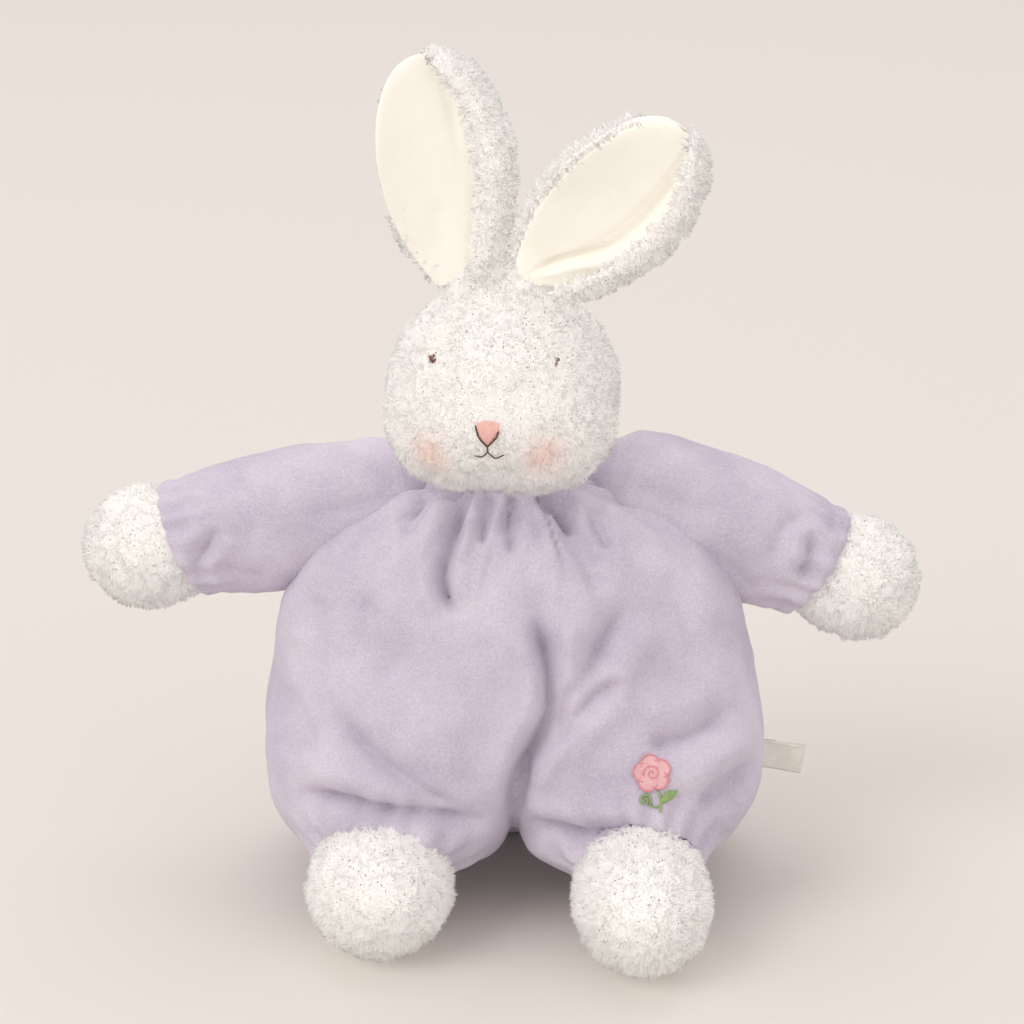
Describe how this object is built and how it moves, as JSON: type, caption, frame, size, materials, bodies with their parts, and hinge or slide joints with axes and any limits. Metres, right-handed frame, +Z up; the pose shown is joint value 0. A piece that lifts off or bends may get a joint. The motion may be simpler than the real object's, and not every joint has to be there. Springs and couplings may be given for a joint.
{
  "type": "stuffed bunny rabbit toy",
  "caption": "Soft stuffed rabbit sitting in a puffy lavender velour romper, with fluffy white head, hands and feet, long lined ears and an embroidered flower.",
  "frame": {"origin": "centre of the underside of the flat seat panel, on the floor the toy sits on", "axes": "+Z up, the toy faces -Y, +X towards the toy's own left hand"},
  "size_m": [0.344, 0.228, 0.3444],
  "materials": {
    "romper_velour": "soft lavender velour with a short brushed nap",
    "gather_thread": "lavender polyester gathering thread",
    "white_plush": "white curly pile plush, matt",
    "cream_lining": "cream smooth velour",
    "fibrefill": "white polyester fibrefill, hidden",
    "pellet_bag_cloth": "closely woven bag of pellets, hidden",
    "eye_thread": "dark brown embroidery thread, slight sheen",
    "nose_thread": "pink satin stitch with a brown outline",
    "mouth_thread": "brown embroidery thread",
    "flower_thread": "pink satin stitch",
    "leaf_thread": "green satin stitch",
    "label_tape": "plain folded satin tape"
  },
  "bodies": {
    "torso": {"romper_front_left": "romper_velour", "romper_front_right": "romper_velour", "romper_back_left": "romper_velour", "romper_back_right": "romper_velour", "seat_panel": "romper_velour", "torso_fill": "fibrefill", "seat_pellet_bag": "pellet_bag_cloth", "neck_gather_thread": "gather_thread", "tail_pompom": "white_plush"},
    "neck_base": {"neck_fill": "fibrefill"},
    "neck_mid": {"neck_stub": "white_plush"},
    "head": {"head_gusset": "white_plush", "head_side_left": "white_plush", "head_side_right": "white_plush", "head_fill": "fibrefill", "eye_left": "eye_thread", "eye_right": "eye_thread", "nose_embroidery": "nose_thread", "mouth_stitch": "mouth_thread"},
    "label": {"side_label": "label_tape"},
    "ear_left_root": {"ear_root_left": "white_plush"},
    "ear_left": {"ear_lining_left": "cream_lining", "ear_back_left": "white_plush"},
    "shoulder_left": {"shoulder_fill_left": "fibrefill"},
    "arm_left": {"sleeve_left": "romper_velour", "arm_fill_left": "fibrefill", "wrist_gather_thread_left": "gather_thread"},
    "hand_left": {"hand_front_left": "white_plush", "hand_back_left": "white_plush", "hand_fill_left": "fibrefill"},
    "leg_left": {"leg_outer_left": "romper_velour", "leg_inner_left": "romper_velour", "leg_fill_left": "fibrefill", "ankle_gather_thread_left": "gather_thread", "flower_patch": "flower_thread", "flower_stem": "leaf_thread"},
    "foot_left": {"foot_upper_left": "white_plush", "foot_sole_left": "white_plush", "foot_fill_left": "fibrefill"},
    "ear_right_root": {"ear_root_right": "white_plush"},
    "ear_right": {"ear_lining_right": "cream_lining", "ear_back_right": "white_plush"},
    "shoulder_right": {"shoulder_fill_right": "fibrefill"},
    "arm_right": {"sleeve_right": "romper_velour", "arm_fill_right": "fibrefill", "wrist_gather_thread_right": "gather_thread"},
    "hand_right": {"hand_front_right": "white_plush", "hand_back_right": "white_plush", "hand_fill_right": "fibrefill"},
    "leg_right": {"leg_outer_right": "romper_velour", "leg_inner_right": "romper_velour", "leg_fill_right": "fibrefill", "ankle_gather_thread_right": "gather_thread"},
    "foot_right": {"foot_upper_right": "white_plush", "foot_sole_right": "white_plush", "foot_fill_right": "fibrefill"}
  },
  "joints": [
    {"name": "head_turn", "type": "hinge", "parent": "torso", "child": "neck_base", "pos_m": [0, -0.042, 0.164], "axis": [0, 0, 1], "range_deg": [-45, 45], "stiffness_Nm_per_rad": 0.004},
    {"name": "head_tilt", "type": "hinge", "parent": "neck_base", "child": "neck_mid", "pos_m": [0, -0.042, 0.164], "axis": [0, 1, 0], "range_deg": [-6, 5], "stiffness_Nm_per_rad": 0.02},
    {"name": "head_nod", "type": "hinge", "parent": "neck_mid", "child": "head", "pos_m": [0, -0.042, 0.164], "axis": [1, 0, 0], "range_deg": [-20, 14], "stiffness_Nm_per_rad": 0.02},
    {"name": "ear_right_splay", "type": "hinge", "parent": "head", "child": "ear_right_root", "pos_m": [-0.021, -0.041, 0.249], "axis": [0, 1, 0], "range_deg": [-40, 5], "stiffness_Nm_per_rad": 0.002},
    {"name": "ear_right_flop", "type": "hinge", "parent": "ear_right_root", "child": "ear_right", "pos_m": [-0.021, -0.041, 0.249], "axis": [0.9863, 0, 0.165], "range_deg": [-55, 60], "stiffness_Nm_per_rad": 0.002},
    {"name": "ear_left_splay", "type": "hinge", "parent": "head", "child": "ear_left_root", "pos_m": [0.0035, -0.041, 0.2508], "axis": [0, 1, 0], "range_deg": [-18, 5], "stiffness_Nm_per_rad": 0.002},
    {"name": "ear_left_flop", "type": "hinge", "parent": "ear_left_root", "child": "ear_left", "pos_m": [0.0035, -0.041, 0.2508], "axis": [0.749, 0, -0.6626], "range_deg": [-55, 15], "stiffness_Nm_per_rad": 0.002},
    {"name": "arm_right_raise", "type": "hinge", "parent": "torso", "child": "shoulder_right", "pos_m": [-0.054, -0.029, 0.1553], "axis": [0, 1, 0], "range_deg": [-14, 45], "stiffness_Nm_per_rad": 0.01},
    {"name": "arm_right_swing", "type": "hinge", "parent": "shoulder_right", "child": "arm_right", "pos_m": [-0.054, -0.029, 0.1553], "axis": [0, 0, 1], "range_deg": [-14, 10], "stiffness_Nm_per_rad": 0.01},
    {"name": "hand_right_bend", "type": "hinge", "parent": "arm_right", "child": "hand_right", "pos_m": [-0.14136, -0.029, 0.13832], "axis": [0, 1, 0], "range_deg": [-25, 25], "stiffness_Nm_per_rad": 0.006},
    {"name": "arm_left_raise", "type": "hinge", "parent": "torso", "child": "shoulder_left", "pos_m": [0.054, -0.029, 0.1578], "axis": [0, -1, 0], "range_deg": [-12, 35], "stiffness_Nm_per_rad": 0.01},
    {"name": "arm_left_swing", "type": "hinge", "parent": "shoulder_left", "child": "arm_left", "pos_m": [0.054, -0.029, 0.1578], "axis": [0, 0, -1], "range_deg": [-14, 10], "stiffness_Nm_per_rad": 0.01},
    {"name": "hand_left_bend", "type": "hinge", "parent": "arm_left", "child": "hand_left", "pos_m": [0.13281, -0.029, 0.12596], "axis": [0, -1, 0], "range_deg": [-25, 25], "stiffness_Nm_per_rad": 0.006},
    {"name": "leg_right_swing", "type": "hinge", "parent": "torso", "child": "leg_right", "pos_m": [-0.051, -0.064, 0.054], "axis": [-1, 0, 0], "range_deg": [-24, 12], "stiffness_Nm_per_rad": 0.03},
    {"name": "foot_right_bend", "type": "hinge", "parent": "leg_right", "child": "foot_right", "pos_m": [-0.053, -0.111, 0.0278], "axis": [-1, 0, 0], "range_deg": [-20, 9], "stiffness_Nm_per_rad": 0.01},
    {"name": "leg_left_swing", "type": "hinge", "parent": "torso", "child": "leg_left", "pos_m": [0.051, -0.064, 0.054], "axis": [-1, 0, 0], "range_deg": [-24, 12], "stiffness_Nm_per_rad": 0.03},
    {"name": "foot_left_bend", "type": "hinge", "parent": "leg_left", "child": "foot_left", "pos_m": [0.05, -0.12, 0.0278], "axis": [-1, 0, 0], "range_deg": [-20, 20], "stiffness_Nm_per_rad": 0.01},
    {"name": "label_flip", "type": "hinge", "parent": "torso", "child": "label", "pos_m": [0.1032, -0.036, 0.0465], "axis": [0, 0, 1], "range_deg": [-60, 60], "stiffness_Nm_per_rad": 0.0002}
  ]
}
